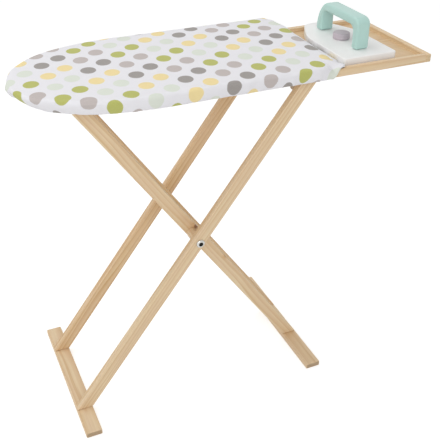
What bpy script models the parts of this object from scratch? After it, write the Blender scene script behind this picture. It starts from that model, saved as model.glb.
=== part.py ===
"""Toy ironing board with a wooden toy iron, in metres, +Z up, standing open on the floor.

X runs along the board from the nose (-X) to the iron tray (+X), and Y across it. The origin is on
the floor, under the middle of the whole object.
"""

import math

import bmesh
import bpy
from mathutils import Matrix, Vector

# Driving sizes, each written once.
GAP = 0.0003

BOARD_LENGTH = 0.583
BOARD_WIDTH = 0.1884
UNDERSIDE_HEIGHT = 0.4925
PANEL_THICKNESS = 0.0052
NOSE_LENGTH = 0.154

TRAY_LENGTH = 0.140
RAIL_WIDTH = 0.008
RAIL_HEIGHT = 0.0056
RAIL_UNDER_COVER = 0.014

PAD_CROWN_HEIGHT = 0.0305
PAD_EDGE_SOFTNESS = 0.0085
TAIL_SLOPE_LENGTH = 0.032
NOSE_BULGE = 0.017
SIDE_BULGE = 0.0045
COVER_THICKNESS = 0.0008
COVER_CORNER_RADIUS = 0.038
SKIRT_CORNER = 0.006
HEM_WIDTH = 0.012
ELASTIC_RADIUS = 0.0009

LEG_WIDTH = 0.0197
LEG_THICKNESS = 0.0113
OUTER_FRAME_WIDTH = 0.158
INNER_FRAME_WIDTH = 0.091
OUTER_LEAN = math.radians(52.91)
INNER_LEAN = math.radians(55.32)
CROSSING_X = -0.0617
CROSSING_HEIGHT = 0.2667
BOLT_DROP = 0.004
AXIS_DROP = 0.016
LEG_EASE = 0.0014

FOOT_BAR_LENGTH = 0.260
FOOT_BAR_WIDTH = 0.0244
FOOT_BAR_THICKNESS = 0.0091

AXLE_RADIUS = 0.005
DOWEL_RADIUS = 0.005
HINGE_BLOCK_LENGTH = 0.024
HINGE_BLOCK_FOOT = 0.014
HINGE_BLOCK_SIDE = 0.006
HINGE_BLOCK_WIDTH = 0.018
HINGE_BLOCK_HEIGHT = 0.026
BATTEN_LENGTH = 0.066
BATTEN_WIDTH = 0.024

BOLT_RADIUS = 0.003
BOLT_HEAD_RADIUS = 0.007
BOLT_HEAD_HEIGHT = 0.0026
BOLT_SOCKET_RADIUS = 0.0024
SPACER_RADIUS = 0.008
NUT_HEIGHT = 0.0045
SCREW_RADIUS = 0.0018
SCREW_HEAD_RADIUS = 0.0036

IRON_LENGTH = 0.161
IRON_WIDTH = 0.086
IRON_THICKNESS = 0.0135
IRON_HEEL_CLEARANCE = 0.0042
IRON_SIDE_CLEARANCE = 0.0024
IRON_PARALLEL_SHARE = 0.62
IRON_TAPER_SHARE = 0.955
IRON_TIP_WIDTH = 0.040
IRON_TIP_ANGLE = math.radians(28)
HANDLE_LENGTH = 0.111
HANDLE_WIDTH = 0.020
HANDLE_HEIGHT = 0.0447
HANDLE_BAR = 0.0115
HANDLE_TIP_POST = 0.0145
HANDLE_HEEL_ROUND = 0.013
HANDLE_TIP_ROUND = 0.026
HANDLE_FROM_HEEL = 0.0235
DIAL_RADIUS = 0.0125
DIAL_HEIGHT = 0.009
DIAL_FROM_HEEL = 0.079
DIAL_PIN_RADIUS = 0.003

# Sizes that follow from those.
NOSE_X = -BOARD_LENGTH / 2
TAIL_X = BOARD_LENGTH / 2
COVER_END_X = TAIL_X - TRAY_LENGTH
HALF_WIDTH = BOARD_WIDTH / 2
SKIN = COVER_THICKNESS + GAP
COVER_HALF_WIDTH = HALF_WIDTH + SKIN
NOSE_CENTRE_X = NOSE_X + NOSE_BULGE + NOSE_LENGTH
PANEL_TOP = UNDERSIDE_HEIGHT + PANEL_THICKNESS
RAIL_TOP = PANEL_TOP + GAP + RAIL_HEIGHT
CROWN_TOP = UNDERSIDE_HEIGHT + PAD_CROWN_HEIGHT
RAIL_START_X = COVER_END_X - RAIL_UNDER_COVER
CORNER_CENTRE_X = COVER_END_X - COVER_CORNER_RADIUS
CORNER_CENTRE_Y = COVER_HALF_WIDTH - COVER_CORNER_RADIUS
HEM_FADE_X = COVER_END_X - 0.052
HEM_END_X = COVER_END_X - 0.022
AXIS_HEIGHT = UNDERSIDE_HEIGHT - AXIS_DROP
BAR_TOP = FOOT_BAR_THICKNESS
OUTER_LEG_TOP = UNDERSIDE_HEIGHT - 2 * GAP
INNER_LEG_TOP = UNDERSIDE_HEIGHT - 3 * GAP - 2 * ELASTIC_RADIUS
HINGE_X = CROSSING_X + (AXIS_HEIGHT - CROSSING_HEIGHT) / math.tan(OUTER_LEAN)
DOWEL_X = CROSSING_X - (AXIS_HEIGHT - CROSSING_HEIGHT) / math.tan(INNER_LEAN)
OUTER_FOOT_X = CROSSING_X - (CROSSING_HEIGHT - BAR_TOP) / math.tan(OUTER_LEAN)
INNER_FOOT_X = CROSSING_X + (CROSSING_HEIGHT - BAR_TOP) / math.tan(INNER_LEAN)
PIVOT_X = CROSSING_X
PIVOT_HEIGHT = CROSSING_HEIGHT - BOLT_DROP
OUTER_LEG_Y = OUTER_FRAME_WIDTH / 2 - LEG_THICKNESS / 2
INNER_LEG_Y = INNER_FRAME_WIDTH / 2 - LEG_THICKNESS / 2
OUTER_LEG_INSIDE = OUTER_FRAME_WIDTH / 2 - LEG_THICKNESS
INNER_LEG_INSIDE = INNER_FRAME_WIDTH / 2 - LEG_THICKNESS
HINGE_BLOCK_Y = OUTER_LEG_INSIDE - 2 * GAP - HINGE_BLOCK_WIDTH / 2
BATTEN_HEIGHT = AXIS_DROP - DOWEL_RADIUS - 2 * GAP
FOOT_SCREW_LENGTH = FOOT_BAR_THICKNESS + 0.012

IRON_FLOOR = PANEL_TOP + GAP
IRON_TOP = IRON_FLOOR + IRON_THICKNESS
IRON_ALONG = Vector((0, 1, 0))
IRON_ACROSS = Vector((1, 0, 0))
IRON_HEEL = Vector((
    COVER_END_X + IRON_SIDE_CLEARANCE + IRON_WIDTH / 2,
    -HALF_WIDTH + RAIL_WIDTH + IRON_HEEL_CLEARANCE,
    IRON_FLOOR,
))
HANDLE_POSTS = (
    HANDLE_FROM_HEEL + HANDLE_BAR / 2,
    HANDLE_FROM_HEEL + HANDLE_LENGTH - HANDLE_TIP_POST / 2,
)
SIDES = (("near", -1), ("far", 1))
NOSE_STEPS = 12
RIDGE_INSET = 0.055
CENTRE_INSET = 0.075


for old in list(bpy.data.objects):
    bpy.data.objects.remove(old, do_unlink=True)

scene = bpy.context.scene
part_collection = bpy.data.collections.new("toy_ironing_board")
cutter_collection = bpy.data.collections.new("cutters")
scene.collection.children.link(part_collection)
scene.collection.children.link(cutter_collection)
cutter_collection.hide_render = True


def material(name, colour, roughness, metallic=0.0):
    """A plain material, with its colour given as sRGB values from 0 to 255."""
    made = bpy.data.materials.new(name)
    made.use_nodes = True
    linear = []
    for value in colour:
        share = value / 255
        linear.append(share / 12.92 if share <= 0.04045 else ((share + 0.055) / 1.055) ** 2.4)
    shader = made.node_tree.nodes["Principled BSDF"]
    shader.inputs["Base Color"].default_value = (*linear, 1)
    shader.inputs["Roughness"].default_value = roughness
    shader.inputs["Metallic"].default_value = metallic
    made.diffuse_color = (*linear, 1)
    return made


PINE = material("pine", (221, 191, 149), 0.6)
PLYWOOD = material("plywood", (214, 186, 146), 0.65)
COTTON = material("cotton", (233, 233, 238), 0.9)
FOAM = material("foam", (240, 236, 220), 0.95)
ELASTIC = material("elastic", (228, 228, 230), 0.85)
NICKEL = material("nickel", (176, 176, 172), 0.3, 1.0)
STEEL = material("steel", (150, 150, 150), 0.4, 1.0)
WHITE_PAINT = material("white_paint", (238, 238, 234), 0.45)
MINT_PAINT = material("mint_paint", (181, 211, 203), 0.45)
MAUVE_PAINT = material("mauve_paint", (179, 169, 180), 0.5)


def add_mesh(name, mesh, surface, collection=part_collection):
    made = bpy.data.objects.new(name, mesh)
    if surface:
        mesh.materials.append(surface)
    collection.objects.link(made)
    return made


def ease(piece, width, segments=2, angle=50):
    """Eases the sharp edges of a piece."""
    bevel = piece.modifiers.new("ease", "BEVEL")
    bevel.width = width
    bevel.segments = segments
    bevel.limit_method = "ANGLE"
    bevel.angle_limit = math.radians(angle)
    return piece


def block(name, low, high, surface, eased=0.0):
    """A box between two corners."""
    mesh = bpy.data.meshes.new(name)
    shape = bmesh.new()
    low, high = Vector(low), Vector(high)
    size = high - low
    place = Matrix.Translation((low + high) / 2) @ Matrix.Diagonal((*size, 1))
    bmesh.ops.create_cube(shape, size=1, matrix=place)
    shape.to_mesh(mesh)
    shape.free()
    piece = add_mesh(name, mesh, surface)
    if eased:
        ease(piece, eased)
    return piece


def slab(name, outline, along, length, surface, eased=0.0, segments=2):
    """A flat outline of points in space, pushed out by a length along a direction."""
    mesh = bpy.data.meshes.new(name)
    shape = bmesh.new()
    corners = [shape.verts.new(point) for point in outline]
    face = shape.faces.new(corners)
    pushed = bmesh.ops.extrude_face_region(shape, geom=[face])["geom"]
    moved = [item for item in pushed if isinstance(item, bmesh.types.BMVert)]
    bmesh.ops.translate(shape, verts=moved, vec=Vector(along) * length)
    bmesh.ops.recalc_face_normals(shape, faces=shape.faces)
    shape.to_mesh(mesh)
    shape.free()
    piece = add_mesh(name, mesh, surface)
    if eased:
        ease(piece, eased, segments)
    return piece


def turned(name, profile, start, direction, surface, collection=part_collection, steps=24):
    """A round piece: a profile of (radius, distance) points turned about an axis from a start point."""
    mesh = bpy.data.meshes.new(name)
    area = 0
    for (r0, d0), (r1, d1) in zip(profile, profile[1:] + profile[:1]):
        area += r0 * d1 - r1 * d0
    if area > 0:
        profile = profile[::-1]
    points = [(radius, 0, distance) for radius, distance in profile]
    links = [(i, i + 1) for i in range(len(points) - 1)]
    mesh.from_pydata(points, links, [])
    piece = add_mesh(name, mesh, surface, collection)
    screw = piece.modifiers.new("turn", "SCREW")
    screw.axis = "Z"
    screw.steps = steps
    screw.render_steps = steps
    screw.use_merge_vertices = True
    screw.merge_threshold = 0.00001
    turn = Vector((0, 0, 1)).rotation_difference(Vector(direction))
    piece.matrix_world = Matrix.Translation(start) @ turn.to_matrix().to_4x4()
    return piece


def rod_profile(radius, length, grow=0.0):
    return [(0, -grow), (radius + grow, -grow), (radius + grow, length + grow), (0, length + grow)]


def screw_profile(length, grow=0.0):
    """A countersunk wood screw, from its flat head at 0 to its point."""
    head = SCREW_HEAD_RADIUS + grow
    shank = SCREW_RADIUS + grow
    return [
        (0, -grow),
        (head, -grow),
        (head, 0.0006),
        (shank, 0.0006 + head - shank),
        (shank, length - 0.003 + grow),
        (0, length + grow),
    ]


def cutter(name, profile, start, direction):
    tool = turned("cut_" + name, profile, start, direction, None, cutter_collection, steps=16)
    tool.hide_render = True
    tool.display_type = "WIRE"
    return tool


def cut(piece, tool):
    """Takes a tool's volume out of a piece."""
    hole = piece.modifiers.new("hole", "BOOLEAN")
    hole.operation = "DIFFERENCE"
    hole.solver = "EXACT"
    hole.object = tool


def hang(pieces, axis_name, place):
    """Puts a moving body's pieces under an empty that sits on its joint axis."""
    axis = bpy.data.objects.new(axis_name, None)
    axis.location = place
    part_collection.objects.link(axis)
    for piece in pieces:
        piece.parent = axis
        piece.matrix_parent_inverse = Matrix.Translation(-Vector(place))


def blend(low, high, share):
    """Goes smoothly from 0 at low to 1 at high."""
    place = min(1, max(0, (share - low) / (high - low)))
    return place * place * (3 - 2 * place)


def nose_outline(inset):
    """The near half of the nose's plan, from its tip to the start of the straight side."""
    points = []
    for step in range(NOSE_STEPS + 1):
        angle = math.pi / 2 * step / NOSE_STEPS
        points.append((
            NOSE_CENTRE_X - (NOSE_LENGTH - inset) * math.cos(angle),
            -(COVER_HALF_WIDTH - inset) * math.sin(angle),
        ))
    return points


def skirt_outline():
    """The near half of the cover's lower edge in plan, from the nose tip to the middle of the tail."""
    points = nose_outline(0)
    stops = [
        NOSE_CENTRE_X,
        HEM_FADE_X,
        HEM_END_X,
        COVER_END_X - SKIRT_CORNER,
    ]
    for start, end, steps in zip(stops, stops[1:], (5, 2, 4)):
        for step in range(1, steps + 1):
            points.append((start + (end - start) * step / steps, -COVER_HALF_WIDTH))
    for angle in (math.pi / 4, math.pi / 2):
        points.append((
            COVER_END_X - SKIRT_CORNER * (1 - math.sin(angle)),
            -COVER_HALF_WIDTH + SKIRT_CORNER * (1 - math.cos(angle)),
        ))
    inside_rail = HALF_WIDTH - RAIL_WIDTH
    for y in (inside_rail - 0.001, inside_rail - 0.005, CORNER_CENTRE_Y, CORNER_CENTRE_Y / 2, 0):
        points.append((COVER_END_X, -y))
    return points


def top_outline(inset):
    """The rounded plan of the padded top, with a point for each point of the skirt."""
    side = COVER_HALF_WIDTH - inset
    corner = COVER_CORNER_RADIUS - inset
    points = nose_outline(inset)
    for x, y in skirt_outline()[len(points):]:
        if x <= CORNER_CENTRE_X:
            points.append((x, -side))
        elif -y <= CORNER_CENTRE_Y:
            points.append((COVER_END_X - inset, y))
        else:
            passed = x - CORNER_CENTRE_X + COVER_HALF_WIDTH + y
            angle = math.pi / 2 * passed / (2 * COVER_CORNER_RADIUS)
            points.append((
                CORNER_CENTRE_X + corner * math.sin(angle),
                -CORNER_CENTRE_Y - corner * math.cos(angle),
            ))
    return points


def toward_middle(point, inset, end_x):
    """Moves a plan point in from the edge, toward the board's centre line."""
    x, y = point
    spine_x = min(max(x, NOSE_CENTRE_X), end_x - HALF_WIDTH)
    away = Vector((x - spine_x, y))
    reach = away.length
    moved = away * ((reach - inset) / reach)
    return (spine_x + moved.x, moved.y)


def on_centre_line(point, end_x):
    """Where a plan point's row of the sheet meets the board's centre line."""
    x, y = point
    spine_end = end_x - HALF_WIDTH
    if x <= spine_end:
        return toward_middle(point, CENTRE_INSET, end_x)[0]
    passed = (x - spine_end + COVER_HALF_WIDTH + y) / (HALF_WIDTH + COVER_HALF_WIDTH)
    return spine_end + (HALF_WIDTH - CENTRE_INSET) * passed


def half_sheet(name, rows, surface):
    """A sheet from rows of points on the near half, mirrored across the board's centre line."""
    mesh = bpy.data.meshes.new(name)
    points = [point for row in rows for point in row]
    wide = len(rows[0])
    faces = []
    for row in range(len(rows) - 1):
        for i in range(wide - 1):
            a = row * wide + i
            faces.append((a, a + 1, a + wide + 1, a + wide))
    mesh.from_pydata(points, [], faces)
    piece = add_mesh(name, mesh, surface)
    mirror = piece.modifiers.new("other_half", "MIRROR")
    mirror.use_axis = (False, True, False)
    mirror.use_clip = True
    mirror.merge_threshold = 0.00005
    return piece


def bulge(point):
    """How far the padded edge swells past the skirt, halfway up."""
    x, y = point
    on_nose = min(1, max(0, (NOSE_CENTRE_X - x) / NOSE_LENGTH)) ** 2
    before_tail = 1 - blend(HEM_FADE_X, COVER_END_X - SKIRT_CORNER, x)
    return (SIDE_BULGE + (NOSE_BULGE - SIDE_BULGE) * on_nose) * before_tail


def top_rows(outline, end_x, lowered):
    """The rounded edge and the crown, sunk by a depth below the cover's outside."""
    edge_height = PAD_CROWN_HEIGHT - 0.0028 - lowered
    low = PANEL_TOP + 0.0095 - UNDERSIDE_HEIGHT
    rows = []
    for step in range(5):
        angle = math.pi / 2 * step / 4
        height = low + (edge_height - low) * math.sin(angle)
        row = []
        for point in outline:
            out = bulge(point)
            round_inset = (PAD_EDGE_SOFTNESS + out) * (1 - math.cos(angle)) - out
            slope_inset = TAIL_SLOPE_LENGTH * step / 4
            on_slope = blend(CORNER_CENTRE_X, COVER_END_X, point[0])
            inset = round_inset + (slope_inset - round_inset) * on_slope
            x, y = toward_middle(point, inset, end_x)
            row.append((x, y, UNDERSIDE_HEIGHT + height))
        rows.append(row)
    row = [toward_middle(point, RIDGE_INSET, end_x) for point in outline]
    rows.append([(x, y, CROWN_TOP - 0.0009 - lowered) for x, y in row])
    rows.append([(on_centre_line(point, end_x), 0, CROWN_TOP - lowered) for point in outline])
    return rows


# The board: panel, pad, cover, hem elastic and tray rails.
panel_near = nose_outline(SKIN) + [(TAIL_X, -HALF_WIDTH)]
panel_outline = panel_near + [(x, -y) for x, y in reversed(panel_near[1:])]
panel = slab(
    "base_panel",
    [(x, y, UNDERSIDE_HEIGHT) for x, y in panel_outline],
    (0, 0, 1),
    PANEL_THICKNESS,
    PLYWOOD,
)

pad_inset = SKIN + 2 * GAP
pad_end_x = COVER_END_X - pad_inset
pad_outline = top_outline(pad_inset)
pad_bottom = PANEL_TOP + GAP
pad_rows = [
    [(on_centre_line(point, pad_end_x), 0, pad_bottom) for point in pad_outline],
    [(*toward_middle(point, 0.001 - 0.6 * bulge(point), pad_end_x), pad_bottom) for point in pad_outline],
]
pad_rows += top_rows(pad_outline, pad_end_x, pad_inset)
pad = half_sheet("foam_pad", pad_rows, FOAM)

cover_outline = top_outline(0)
hem_rows = [[], [], [], []]
for x, y in skirt_outline():
    on_tail = blend(HEM_END_X, COVER_END_X - SKIRT_CORNER, x)
    on_floor = blend(-HALF_WIDTH + RAIL_WIDTH + 0.001, -HALF_WIDTH + RAIL_WIDTH + 0.005, y)
    if x < HEM_END_X:
        on_floor = 0
    hem_level = UNDERSIDE_HEIGHT - SKIN - GAP
    tail_level = RAIL_TOP + SKIN + GAP + (PANEL_TOP - RAIL_TOP - SKIN) * on_floor
    low = hem_level + (tail_level - hem_level) * on_tail
    turned_under = 1 - blend(HEM_FADE_X, HEM_END_X, x)
    bend = 0.0012
    hem_rows[0].append((*toward_middle((x, y), HEM_WIDTH * turned_under, COVER_END_X), low))
    lifted = low + bend / 2 * (1 - turned_under)
    hem_rows[1].append((*toward_middle((x, y), bend * turned_under, COVER_END_X), lifted))
    hem_rows[2].append((x, y, low + bend))
    swelling = UNDERSIDE_HEIGHT + 0.006
    over_rail = RAIL_TOP + 2 * SKIN
    level = swelling + (over_rail - swelling) * (1 - turned_under)
    side_point = toward_middle((x, y), -0.8 * bulge((x, y)), COVER_END_X)
    hem_rows[3].append((*side_point, max(level, low + 2 * bend)))
cover = half_sheet("cover", hem_rows + top_rows(cover_outline, COVER_END_X, 0), COTTON)
shell = cover.modifiers.new("cloth", "SOLIDIFY")
shell.thickness = COVER_THICKNESS
shell.offset = -1
shell.use_even_offset = True

elastic_inset = HEM_WIDTH + GAP + ELASTIC_RADIUS
elastic_half = [
    toward_middle(point, elastic_inset, COVER_END_X)
    for point in skirt_outline()
    if point[0] <= HEM_FADE_X
]
elastic_path = list(reversed([(x, -y) for x, y in elastic_half[1:]])) + elastic_half
curve = bpy.data.curves.new("hem_elastic", "CURVE")
curve.dimensions = "3D"
curve.bevel_depth = ELASTIC_RADIUS
curve.bevel_resolution = 1
curve.use_fill_caps = True
spline = curve.splines.new("POLY")
spline.points.add(len(elastic_path) - 1)
for spot, (x, y) in zip(spline.points, elastic_path):
    spot.co = (x, y, UNDERSIDE_HEIGHT - GAP - ELASTIC_RADIUS, 1)
elastic = add_mesh("hem_elastic", curve, ELASTIC)

for side_name, side in SIDES:
    outside = side * HALF_WIDTH
    inside = side * (HALF_WIDTH - RAIL_WIDTH)
    block(
        "tray_rail_" + side_name,
        (RAIL_START_X, min(outside, inside), PANEL_TOP + GAP),
        (TAIL_X - RAIL_WIDTH - GAP, max(outside, inside), RAIL_TOP),
        PINE,
        0.0008,
    )
block(
    "tray_rail_end",
    (TAIL_X - RAIL_WIDTH, -HALF_WIDTH, PANEL_TOP + GAP),
    (TAIL_X, HALF_WIDTH, RAIL_TOP),
    PINE,
    0.0008,
)

# Under the board: hinge blocks, and the batten that rests on the inner frame's dowel.
axle_reach = OUTER_LEG_INSIDE + LEG_THICKNESS / 2
axle = turned(
    "hinge_axle",
    rod_profile(AXLE_RADIUS, 2 * axle_reach),
    (HINGE_X, -axle_reach, AXIS_HEIGHT),
    (0, 1, 0),
    PINE,
)
axle_bore = cutter(
    "hinge_axle",
    rod_profile(AXLE_RADIUS, 2 * axle_reach, GAP),
    (HINGE_X, -axle_reach, AXIS_HEIGHT),
    (0, 1, 0),
)


def panel_screw(name, x, y, base):
    """A screw through the panel from above, into a piece fixed under it."""
    length = PANEL_THICKNESS + 0.008
    top = PANEL_TOP - GAP
    turned(name, screw_profile(length), (x, y, top), (0, 0, -1), STEEL, steps=16)
    hole = cutter(name, screw_profile(length, GAP), (x, y, top), (0, 0, -1))
    cut(panel, hole)
    cut(base, hole)


for side_name, side in SIDES:
    middle = side * HINGE_BLOCK_Y
    half = HINGE_BLOCK_LENGTH / 2
    foot = HINGE_BLOCK_FOOT / 2
    profile = [
        (-half, GAP),
        (half, GAP),
        (half, HINGE_BLOCK_SIDE),
        (foot, HINGE_BLOCK_HEIGHT),
        (-foot, HINGE_BLOCK_HEIGHT),
        (-half, HINGE_BLOCK_SIDE),
    ]
    start_y = middle - HINGE_BLOCK_WIDTH / 2
    hinge_block = slab(
        "hinge_block_" + side_name,
        [(HINGE_X + along, start_y, UNDERSIDE_HEIGHT - drop) for along, drop in profile],
        (0, 1, 0),
        HINGE_BLOCK_WIDTH,
        PINE,
        0.0012,
    )
    cut(hinge_block, axle_bore)
    for end_name, end in (("nose", -1), ("tail", 1)):
        screw_x = HINGE_X + end * (HINGE_BLOCK_LENGTH / 2 - 0.006)
        panel_screw("hinge_screw_" + side_name + "_" + end_name, screw_x, middle, hinge_block)

batten = block(
    "rest_batten",
    (DOWEL_X - BATTEN_WIDTH / 2, -BATTEN_LENGTH / 2, UNDERSIDE_HEIGHT - BATTEN_HEIGHT),
    (DOWEL_X + BATTEN_WIDTH / 2, BATTEN_LENGTH / 2, UNDERSIDE_HEIGHT - GAP),
    PINE,
    0.0012,
)
for side_name, side in SIDES:
    panel_screw("batten_screw_" + side_name, DOWEL_X, side * BATTEN_LENGTH / 4, batten)


# The two leg frames.
def leg(name, top_x, top_height, lean, toward, middle_y):
    """A leg with its top cut level under the board and its foot cut level with its bar."""
    down = Vector((toward * math.cos(lean), 0, -math.sin(lean)))
    across = Vector((toward * math.sin(lean), 0, math.cos(lean)))
    top = Vector((top_x, middle_y - LEG_THICKNESS / 2, AXIS_HEIGHT))
    half = LEG_WIDTH / 2
    outline = []
    for edge in (1, -1):
        start = top + across * (half * edge)
        rise = (top_height - start.z) / -down.z
        outline.append(start - down * rise)
    for edge in (-1, 1):
        start = top + across * (half * edge)
        drop = (start.z - BAR_TOP - GAP) / -down.z
        outline.append(start + down * drop)
    return slab(name, outline, (0, 1, 0), LEG_THICKNESS, PINE, LEG_EASE)


def foot_bar(name, middle_x):
    return block(
        name,
        (middle_x - FOOT_BAR_WIDTH / 2, -FOOT_BAR_LENGTH / 2, 0),
        (middle_x + FOOT_BAR_WIDTH / 2, FOOT_BAR_LENGTH / 2, BAR_TOP),
        PINE,
        LEG_EASE,
    )


def foot_screw(name, x, y, bar, its_leg):
    """A countersunk screw up through the foot bar into a leg."""
    start = (x, y, GAP)
    piece = turned(name, screw_profile(FOOT_SCREW_LENGTH), start, (0, 0, 1), STEEL, steps=16)
    hole = cutter(name, screw_profile(FOOT_SCREW_LENGTH, GAP), start, (0, 0, 1))
    cut(bar, hole)
    cut(its_leg, hole)
    return piece


outer_bar = foot_bar("outer_foot_bar", OUTER_FOOT_X)
inner_bar = foot_bar("inner_foot_bar", INNER_FOOT_X)
outer_pieces = [axle, outer_bar]
inner_pieces = [inner_bar]

dowel_reach = INNER_LEG_INSIDE + LEG_THICKNESS / 2
dowel = turned(
    "top_dowel",
    rod_profile(DOWEL_RADIUS, 2 * dowel_reach),
    (DOWEL_X, -dowel_reach, AXIS_HEIGHT),
    (0, 1, 0),
    PINE,
)
dowel_bore = cutter(
    "top_dowel",
    rod_profile(DOWEL_RADIUS, 2 * dowel_reach, GAP),
    (DOWEL_X, -dowel_reach, AXIS_HEIGHT),
    (0, 1, 0),
)
inner_pieces.append(dowel)

for side_name, side in SIDES:
    outer_leg = leg("outer_leg_" + side_name, HINGE_X, OUTER_LEG_TOP, OUTER_LEAN, -1, side * OUTER_LEG_Y)
    # The inner legs pass under the hem's elastic as they fold, so their tops stop lower.
    inner_leg = leg("inner_leg_" + side_name, DOWEL_X, INNER_LEG_TOP, INNER_LEAN, 1, side * INNER_LEG_Y)
    cut(outer_leg, axle_bore)
    cut(inner_leg, dowel_bore)
    outer_pieces += [
        outer_leg,
        foot_screw("outer_foot_screw_" + side_name, OUTER_FOOT_X, side * OUTER_LEG_Y, outer_bar, outer_leg),
    ]
    inner_pieces += [
        inner_leg,
        foot_screw("inner_foot_screw_" + side_name, INNER_FOOT_X, side * INNER_LEG_Y, inner_bar, inner_leg),
    ]

    # The pivot bolt goes in from outside, through both legs and the spacer, to a nut inside the inner leg.
    outside = OUTER_FRAME_WIDTH / 2 + GAP
    reach = outside - INNER_LEG_INSIDE + GAP + NUT_HEIGHT - 0.0008
    bolt_start = (PIVOT_X, side * (outside + BOLT_HEAD_HEIGHT), PIVOT_HEIGHT)
    inward = (0, -side, 0)
    bolt = turned(
        "pivot_bolt_" + side_name,
        [
            (0, 0),
            (BOLT_HEAD_RADIUS - 0.0012, 0),
            (BOLT_HEAD_RADIUS, 0.0010),
            (BOLT_HEAD_RADIUS, BOLT_HEAD_HEIGHT),
            (BOLT_RADIUS, BOLT_HEAD_HEIGHT),
            (BOLT_RADIUS, BOLT_HEAD_HEIGHT + reach),
            (0, BOLT_HEAD_HEIGHT + reach),
        ],
        bolt_start,
        inward,
        NICKEL,
    )
    socket = turned(
        "cut_pivot_socket_" + side_name,
        [(0, -0.001), (BOLT_SOCKET_RADIUS, -0.001), (BOLT_SOCKET_RADIUS, 0.0018), (0, 0.0018)],
        bolt_start,
        inward,
        None,
        cutter_collection,
        steps=6,
    )
    socket.hide_render = True
    socket.display_type = "WIRE"
    cut(bolt, socket)
    bore = cutter(
        "pivot_" + side_name,
        rod_profile(BOLT_RADIUS, outside + 0.002, GAP),
        (PIVOT_X, side * (outside + 0.001), PIVOT_HEIGHT),
        inward,
    )
    cut(outer_leg, bore)
    cut(inner_leg, bore)
    ring_inner = BOLT_RADIUS + GAP
    spacer_length = OUTER_LEG_INSIDE - INNER_FRAME_WIDTH / 2 - 2 * GAP
    spacer = turned(
        "pivot_spacer_" + side_name,
        [
            (ring_inner, 0),
            (SPACER_RADIUS, 0),
            (SPACER_RADIUS, spacer_length),
            (ring_inner, spacer_length),
            (ring_inner, 0),
        ],
        (PIVOT_X, side * (OUTER_LEG_INSIDE - GAP), PIVOT_HEIGHT),
        inward,
        PINE,
    )
    nut = turned(
        "pivot_nut_" + side_name,
        [
            (0, NUT_HEIGHT),
            (BOLT_HEAD_RADIUS - 0.001, NUT_HEIGHT),
            (BOLT_HEAD_RADIUS, NUT_HEIGHT - 0.001),
            (BOLT_HEAD_RADIUS, 0),
            (ring_inner, 0),
            (ring_inner, NUT_HEIGHT - 0.0005),
            (0, NUT_HEIGHT - 0.0005),
        ],
        (PIVOT_X, side * (INNER_LEG_INSIDE - GAP), PIVOT_HEIGHT),
        inward,
        NICKEL,
    )
    outer_pieces += [bolt, spacer, nut]

hang(outer_pieces, "outer_frame_axis", (HINGE_X, 0, AXIS_HEIGHT))
hang(inner_pieces, "inner_frame_axis", (PIVOT_X, 0, PIVOT_HEIGHT))


# The toy iron that lies across the tray.
def on_iron(along, across, height):
    """A point on the iron: its distance from the heel, from its centre line, and above its sole."""
    return IRON_HEEL + IRON_ALONG * along + IRON_ACROSS * across + Vector((0, 0, height))


half_iron = IRON_WIDTH / 2
heel_round = 0.004
base_side = []
for step in range(5):
    angle = math.pi / 2 * step / 4
    base_side.append((
        heel_round * (1 - math.sin(angle)),
        half_iron - heel_round * (1 - math.cos(angle)),
    ))
base_side.reverse()
parallel = IRON_LENGTH * IRON_PARALLEL_SHARE
tip_start = IRON_LENGTH * IRON_TAPER_SHARE
half_tip = IRON_TIP_WIDTH / 2
for step in range(9):
    share = step / 8
    base_side.append((
        parallel + (tip_start - parallel) * share,
        half_iron - (half_iron - half_tip) * share ** 1.25,
    ))
for step in range(1, 6):
    angle = IRON_TIP_ANGLE + (math.pi / 2 - IRON_TIP_ANGLE) * step / 6
    passed = (math.sin(angle) - math.sin(IRON_TIP_ANGLE)) / (1 - math.sin(IRON_TIP_ANGLE))
    base_side.append((
        tip_start + (IRON_LENGTH - tip_start) * passed,
        half_tip * math.cos(angle) / math.cos(IRON_TIP_ANGLE),
    ))
base_outline = [(along, across) for along, across in base_side]
base_outline.append((IRON_LENGTH, 0))
base_outline += [(along, -across) for along, across in reversed(base_side)]
iron_base = slab(
    "iron_base",
    [on_iron(along, across, 0) for along, across in base_outline],
    (0, 0, 1),
    IRON_THICKNESS,
    WHITE_PAINT,
    0.0022,
    3,
)

def rounded(corner, reach, rise, power=1.0):
    """Points of an outside corner from its upright side to its level top, each (along, up)."""
    points = []
    for step in range(6):
        angle = math.pi / 2 * step / 5
        points.append((
            corner[0] + reach * (1 - math.cos(angle) ** power),
            corner[1] - rise * (1 - math.sin(angle) ** power),
        ))
    return points


handle_under = HANDLE_HEIGHT - HANDLE_BAR
inner_round = HANDLE_HEEL_ROUND - 0.004
heel_corner = rounded((0, HANDLE_HEIGHT), HANDLE_HEEL_ROUND, HANDLE_HEEL_ROUND * 0.7)
tip_corner = rounded((HANDLE_LENGTH, HANDLE_HEIGHT), -HANDLE_TIP_ROUND, HANDLE_HEIGHT - 0.007, 1.15)
inner_heel = rounded((HANDLE_BAR, handle_under), inner_round, inner_round)
inner_tip = rounded((HANDLE_LENGTH - HANDLE_TIP_POST, handle_under), -inner_round * 1.4, inner_round * 1.4)
handle_outline = [(0, GAP)] + heel_corner + tip_corner[::-1] + [(HANDLE_LENGTH, GAP)]
handle_outline.append((HANDLE_LENGTH - HANDLE_TIP_POST, GAP))
handle_outline += inner_tip + inner_heel[::-1]
handle_outline.append((HANDLE_BAR, GAP))
iron_handle = slab(
    "iron_handle",
    [
        on_iron(HANDLE_FROM_HEEL + along, -HANDLE_WIDTH / 2, IRON_THICKNESS + up)
        for along, up in handle_outline
    ],
    IRON_ACROSS,
    HANDLE_WIDTH,
    MINT_PAINT,
    0.0028,
    3,
)

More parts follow.
